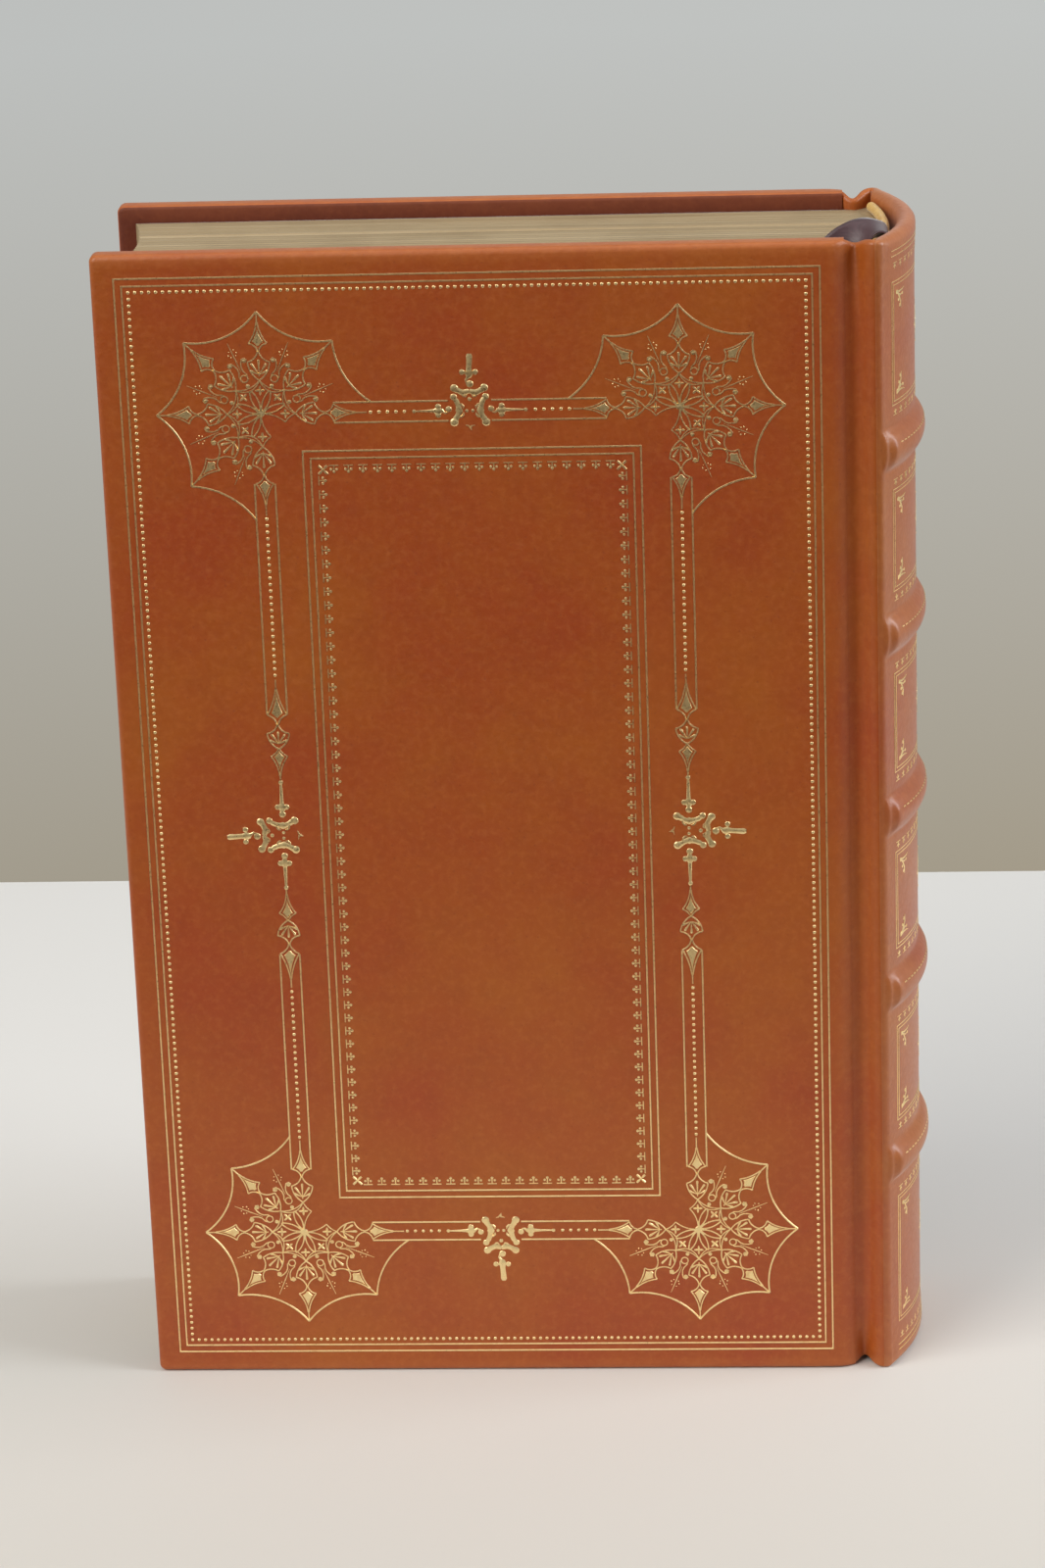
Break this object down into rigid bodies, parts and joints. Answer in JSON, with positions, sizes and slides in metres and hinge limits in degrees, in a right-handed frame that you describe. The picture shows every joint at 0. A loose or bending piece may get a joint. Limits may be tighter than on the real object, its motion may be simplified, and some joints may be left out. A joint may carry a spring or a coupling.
{
  "type": "leather-bound book",
  "caption": "Full leather hardback book with raised spine bands, gold-tooled covers and gilt page edges; both covers open on their joints.",
  "frame": {"origin": "middle of the rectangle that the closed book stands on, at the tail of the covers", "axes": "+Z from tail to head, +X from the fore edge to the spine, -Y out of the back cover, +Y out of the front cover"},
  "size_m": [0.1634, 0.0472, 0.242],
  "materials": {
    "gilt_paper": "paper with matt gilt edges",
    "endpaper": "dark plum silk",
    "lining_cloth": "plain woven cotton",
    "headband_silk": "gold silk, sewn",
    "ribbon": "dark plum satin ribbon",
    "board": "dense grey book board",
    "spine_leather": "polished goatskin, paler than the covers",
    "cover_leather": "polished goatskin, mottled red-brown",
    "gold": "burnished gold leaf, tooled"
  },
  "bodies": {
    "book_block": {"text_block": "gilt_paper", "back_flyleaf": "endpaper", "front_flyleaf": "endpaper", "spine_cloth": "lining_cloth", "headband": "headband_silk", "tailband": "headband_silk", "ribbon_marker": "ribbon", "spine_inlay": "board", "band_1": "board", "band_2": "board", "band_3": "board", "band_4": "board", "band_5": "board", "spine_leather": "spine_leather", "spine_tooling": "gold"},
    "back_cover": {"back_board": "board", "back_leather": "cover_leather", "back_pastedown": "endpaper", "back_tooling": "gold"},
    "front_cover": {"front_board": "board", "front_leather": "cover_leather", "front_pastedown": "endpaper", "front_tooling": "gold"}
  },
  "joints": [
    {"name": "back_cover_hinge", "type": "hinge", "parent": "book_block", "child": "back_cover", "pos_m": [0.06735, -0.02375, 0], "axis": [0, 0, 1], "range_deg": [0, 180]},
    {"name": "front_cover_hinge", "type": "hinge", "parent": "book_block", "child": "front_cover", "pos_m": [0.06735, 0.02375, 0], "axis": [0, 0, -1], "range_deg": [0, 180]}
  ]
}
